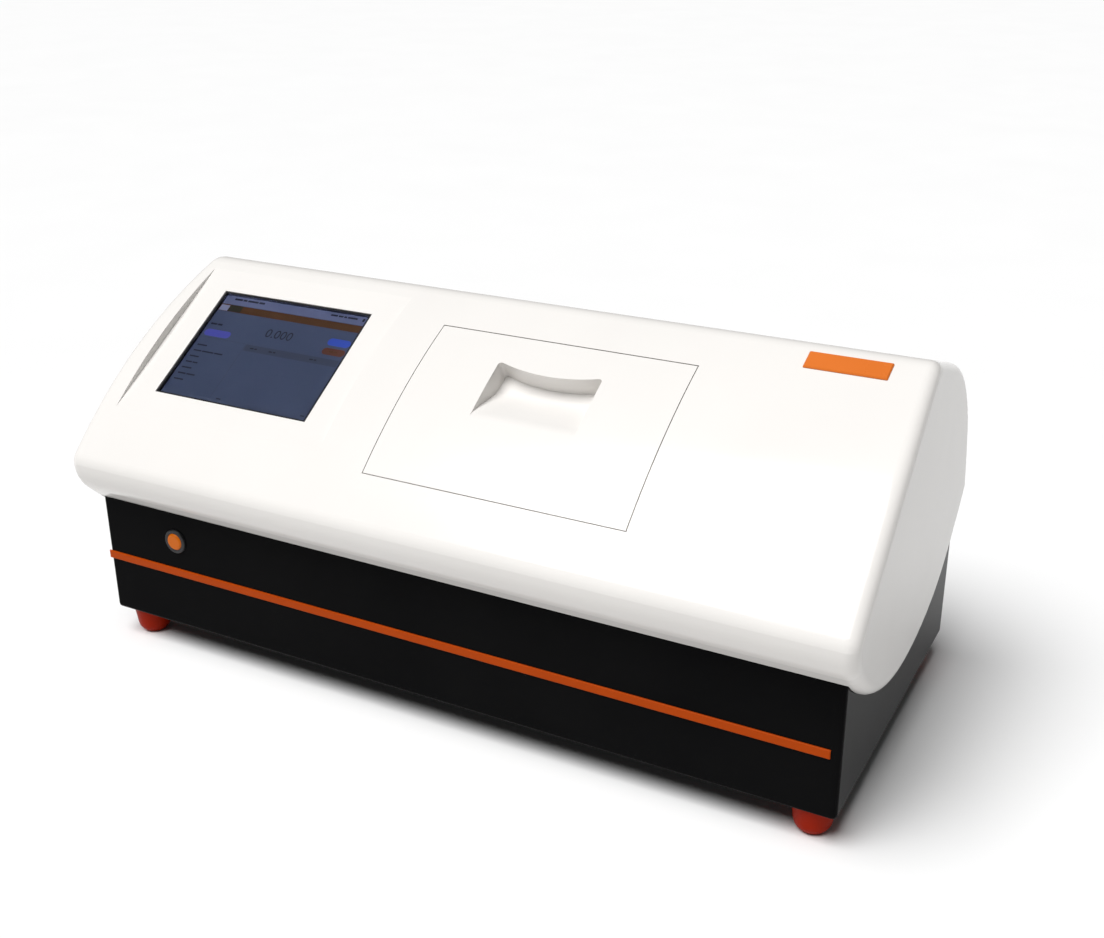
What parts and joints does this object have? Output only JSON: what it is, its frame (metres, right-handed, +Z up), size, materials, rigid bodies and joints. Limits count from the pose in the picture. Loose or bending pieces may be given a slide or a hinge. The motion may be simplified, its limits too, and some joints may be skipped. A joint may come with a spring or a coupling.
{
  "type": "automatic polarimeter",
  "caption": "Benchtop automatic polarimeter: black casing, white moulded hood, hinged chamber lid with finger recess, inclined display and geared analyser on an optical bench",
  "frame": {"origin": "middle of the bounding box's footprint, at the height the feet stand on", "axes": "X along the instrument to the viewer's right, Y to its rear, Z up"},
  "size_m": [0.718, 0.3426, 0.3224],
  "materials": {
    "casing_black": "gloss black enamel",
    "hood_white": "gloss white moulding",
    "trim_orange": "gloss orange",
    "plate_orange": "satin orange enamel",
    "feet_orange": "satin orange",
    "button_orange": "gloss orange lens",
    "bezel_white": "gloss pale grey",
    "display_glass": "clear",
    "lcd": "lit panel",
    "black_plastic": "fine matt",
    "steel": "bright zinc",
    "zinc_sheet": "passivated sheet",
    "bench_aluminium": "machined",
    "black_anodised": "matt black anodised",
    "brass": "cut brass",
    "copper_wire": "enamelled copper",
    "optical_glass": "polished",
    "seal_rubber": "closed-cell foam",
    "motor_black": "satin",
    "circuit_board": "solder mask",
    "board_components": "moulded",
    "post_nylon": "nylon"
  },
  "bodies": {
    "instrument": {"body_casing": "casing_black", "rear_panel": "casing_black", "hood": "hood_white", "trim_strip": "trim_orange", "name_plate": "plate_orange", "feet": "feet_orange", "display_bezel": "bezel_white", "display_glass": "display_glass", "lcd_panel": "lcd", "power_switch": "black_plastic", "switch_nut": "black_plastic", "fan_frame": "black_plastic", "mains_inlet": "black_plastic", "fuse_drawer": "black_plastic", "coil_bobbin": "black_plastic", "foot_screws": "steel", "bench_pillars": "steel", "hinge_pins": "steel", "panel_screws": "steel", "analyser_bearings": "steel", "inlet_pins": "steel", "display_tray": "zinc_sheet", "hinge_brackets": "zinc_sheet", "hood_joiner": "zinc_sheet", "motor_bracket": "zinc_sheet", "power_supply": "zinc_sheet", "serial_port": "zinc_sheet", "usb_port": "zinc_sheet", "fan_guard": "zinc_sheet", "optical_bench": "bench_aluminium", "lamp_heat_sink": "bench_aluminium", "sample_chamber": "black_anodised", "tube_rests": "black_anodised", "beam_mounts": "black_anodised", "collimator_barrel": "black_anodised", "lamp_house": "black_anodised", "modulator_cradle": "black_anodised", "analyser_housing": "black_anodised", "detector_housing": "black_anodised", "modulator_coil": "copper_wire", "chamber_windows": "optical_glass", "polariser": "optical_glass", "collimator_lens": "optical_glass", "modulator_core": "optical_glass", "photomultiplier": "optical_glass", "lid_seal": "seal_rubber", "stepper_motor": "motor_black", "display_board": "circuit_board", "main_board": "circuit_board", "lamp_board": "circuit_board", "board_parts": "board_components", "board_posts": "post_nylon"},
    "lid": {"chamber_lid": "hood_white"},
    "button": {"power_button": "button_orange"},
    "analyser": {"analyser_drum": "black_anodised", "analyser_gear": "brass", "analyser_prism": "optical_glass"},
    "pinion": {"motor_pinion": "brass", "motor_shaft": "steel"},
    "fan": {"fan_rotor": "black_plastic"}
  },
  "joints": [
    {"name": "lid_hinge", "type": "hinge", "parent": "instrument", "child": "lid", "pos_m": [0.05593, -0.01654, 0.29186], "axis": [-1, 0, 0], "range_deg": [0, 95]},
    {"name": "button_slide", "type": "slide", "parent": "instrument", "child": "button", "axis": [0, 1, 0], "range_m": [0, 0.0025], "stiffness_N_per_m": 400, "springref_m": -0.001},
    {"name": "analyser_turn", "type": "hinge", "parent": "instrument", "child": "analyser", "pos_m": [-0.16508, -0.06825, 0.177], "axis": [1, 0, 0], "range_deg": [-90, 90]},
    {"name": "pinion_turn", "type": "hinge", "parent": "instrument", "child": "pinion", "pos_m": [-0.192, -0.02825, 0.177], "axis": [1, 0, 0], "range_deg": [-360, 360]},
    {"name": "fan_spin", "type": "hinge", "parent": "instrument", "child": "fan", "pos_m": [0.19, 0.15375, 0.097], "axis": [0, 1, 0], "continuous": true}
  ],
  "couplings": [
    {"joint": "pinion_turn", "follows": "analyser_turn", "ratio": -4}
  ]
}
